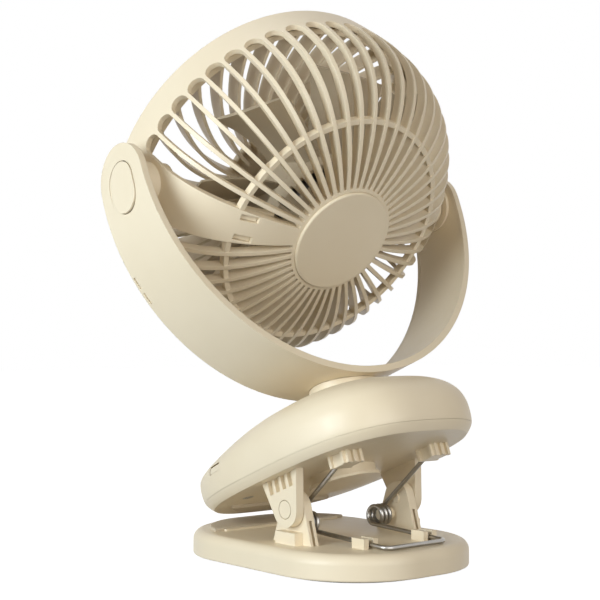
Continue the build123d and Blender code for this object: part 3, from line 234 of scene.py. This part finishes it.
def dress_solids():
    """Each solid takes the finish of its material slot."""
    for entry in frame["record"]["subparts"]:
        mesh = NODES[entry["node"]].data
        mesh.materials.clear()
        mesh.materials.append(FINISHES[entry["material_slot"]])


# Clamp spring


def jaw_place(p, q):
    """Point on the middle plane, given along and above the jaw from its hinge."""
    hinge = Vector(JOINTS["clip_open"]["pos_m"])
    down = Vector(JOINTS["button_press"]["axis"])
    along = Vector((0, -down.z, down.y))
    return hinge + along * p - down * q


def tangent_angle(point, side):
    """Angle about the coil of the tangent from a point, on the chosen side."""
    away = point - COIL_CENTRE
    return atan2(away.z, away.y) + side * acos(COIL_RADIUS / hypot(away.y, away.z))


def coil_points(start, sweep, outer_x):
    """Points of a coil, wound from its outer end to its inner end."""
    steps = round(sweep / (2 * pi) * TURN_STEPS)
    points = []
    for i in range(steps + 1):
        share = i / steps
        angle = start + sweep * share
        reach = Vector((0, cos(angle), sin(angle))) * COIL_RADIUS
        across = outer_x + (COIL_INNER_X - outer_x) * share
        points.append(COIL_CENTRE + reach + Vector((across, 0, 0)))
    return points


def bar_bend(leg_end, along):
    """Points of the quarter bend from a leg into the cross bar."""
    inward = Vector((-1, 0, 0))
    middle = leg_end + inward * BAR_BEND
    turns = [pi / 2 * i / BEND_STEPS for i in range(BEND_STEPS + 1)]
    return [middle + (along * sin(turn) - inward * cos(turn)) * BAR_BEND for turn in turns]


def spring_half():
    """Points of the wire on the +X side: arm from the tip, coil, leg, and bend into the cross bar."""
    tip = jaw_place(TIP_P, TIP_Q)
    corner = Vector((COIL_INNER_X, BAR_Y, BAR_Z))
    start = tangent_angle(tip, 1)
    sweep = (tangent_angle(corner, -1) - start) % (2 * pi) + 2 * pi * COIL_FULL_TURNS
    outer_x = COIL_INNER_X + COIL_PITCH * sweep / (2 * pi)
    coil = coil_points(start, sweep, outer_x)
    tip.x = outer_x
    arm = [tip.lerp(coil[0], i / ARM_STEPS) for i in range(ARM_STEPS)]
    along = (corner - coil[-1]).normalized()
    leg_end = corner - along * BAR_BEND
    leg = [coil[-1].lerp(leg_end, i / ARM_STEPS) for i in range(1, ARM_STEPS)]
    return arm + coil + leg + bar_bend(leg_end, along)


def spring_points():
    """Points of the whole wire: one half, and its mirror image back to the other tip."""
    half = spring_half()
    return half + [Vector((-point.x, point.y, point.z)) for point in reversed(half)]


def wire_mesh(points):
    """Mesh of a round wire with closed ends along some points."""
    line = bpy.data.curves.new("spring_line", "CURVE")
    line.dimensions = "3D"
    line.bevel_depth = WIRE_RADIUS
    line.bevel_resolution = WIRE_RESOLUTION
    line.use_fill_caps = True
    spline = line.splines.new("POLY")
    spline.points.add(len(points) - 1)
    for place, point in zip(spline.points, points):
        place.co = (*point, 1)
    source = bpy.data.objects.new("spring_line", line)
    mesh = bpy.data.meshes.new_from_object(source)
    bpy.data.objects.remove(source)
    mesh.shade_smooth()
    return mesh


def clamp_spring():
    """Double torsion spring of round wire, built in place of the clamp_spring solid, which it hides."""
    mesh = wire_mesh(spring_points())
    mesh.materials.clear()
    mesh.materials.append(FINISHES["steel_wire"])
    spring = new_object("wire_spring", mesh)
    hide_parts("clamp_spring")
    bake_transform(spring)


# Studio


def seen_directly(tree):
    """1 for rays from the camera, off a mirror or through glass, and 0 for those that light the part."""
    path = add(tree, "LightPath")
    direct = larger(tree, path.outputs["Is Camera Ray"], path.outputs["Is Glossy Ray"])
    return larger(tree, direct, path.outputs["Is Transmission Ray"])


def floor():
    """Plain floor that keeps the shadow and shows white where it is lit."""
    mesh = bpy.data.meshes.new("floor")
    half = FLOOR_SIZE / 2
    corners = [(-half, -half, 0), (half, -half, 0), (half, half, 0), (-half, half, 0)]
    mesh.from_pydata(corners, [], [(0, 1, 2, 3)])
    material, tree, shader = new_material("floor_paper")
    shader.inputs["Base Color"].default_value = (*FLOOR_COLOUR, 1)
    shader.inputs["Roughness"].default_value = FLOOR_ROUGHNESS
    shader.inputs["Specular IOR Level"].default_value = FLOOR_SPECULAR
    shader.inputs["Emission Color"].default_value = (*WHITE, 1)
    glow = add(tree, "Math")
    glow.operation = "MULTIPLY"
    glow.inputs[1].default_value = FLOOR_GLOW
    tree.links.new(seen_directly(tree), glow.inputs[0])
    tree.links.new(glow.outputs[0], shader.inputs["Emission Strength"])
    mesh.materials.append(material)
    plane = new_object("floor", mesh)


def surroundings():
    """White backdrop for the eye, and a dim warm light for the part."""
    world = bpy.data.worlds.new("studio")
    bpy.context.scene.world = world
    world.use_nodes = True
    tree = world.node_tree
    shade = tint(tree, seen_directly(tree), WORLD_LIGHT, WHITE)
    tree.links.new(shade, tree.nodes["Background"].inputs["Color"])


# Key from the left of the picture, fill from its right and a weak lamp above.
# Each lies off the part's middle, in shares to the left, towards the camera and up.
LAMPS = (
    dict(name="key", left=0.75, near=0.75, up=0.16, distance=0.8,
         power=5.8, colour=(0.86, 0.945, 1.0), size=0.45),
    dict(name="fill", left=-0.5, near=0.8, up=0.05, distance=1.0,
         power=7.3, colour=(1.0, 0.985, 0.96), size=0.9),
    dict(name="top", left=0.2, near=-0.1, up=1.0, distance=0.9,
         power=1.3, colour=(1.0, 0.97, 0.92), size=0.8),
)


def lamp(name, left, near, up, distance, power, colour, size):
    """Square soft lamp that faces the part's middle."""
    target = (CAD_LOW + CAD_HIGH) / 2
    to_camera = -Vector((CAMERA_FORWARD.x, CAMERA_FORWARD.y, 0)).normalized()
    to_left = Vector((to_camera.y, -to_camera.x, 0))
    direction = to_left * left + to_camera * near + Vector((0, 0, up))
    data = bpy.data.lights.new(name, "AREA")
    data.energy = power
    data.color = colour
    data.size = size
    light = new_object(name, data)
    light.location = target + direction.normalized() * distance
    light.rotation_euler = (target - light.location).to_track_quat("-Z", "Y").to_euler()


def camera():
    """The photograph's camera."""
    data = bpy.data.cameras.new("camera")
    data.lens = CAMERA_LENS
    data.sensor_width = CAMERA_SENSOR
    data.clip_start = CAMERA_CLIP_START
    eye = new_object("camera", data)
    eye.location = CAMERA_PLACE
    eye.rotation_euler = CAMERA_FORWARD.to_track_quat("-Z", "Y").to_euler()
    bpy.context.scene.camera = eye


dress_solids()
clamp_spring()
floor()
surroundings()
for settings in LAMPS:
    lamp(**settings)
camera()
bpy.context.scene.view_settings.view_transform = "Standard"
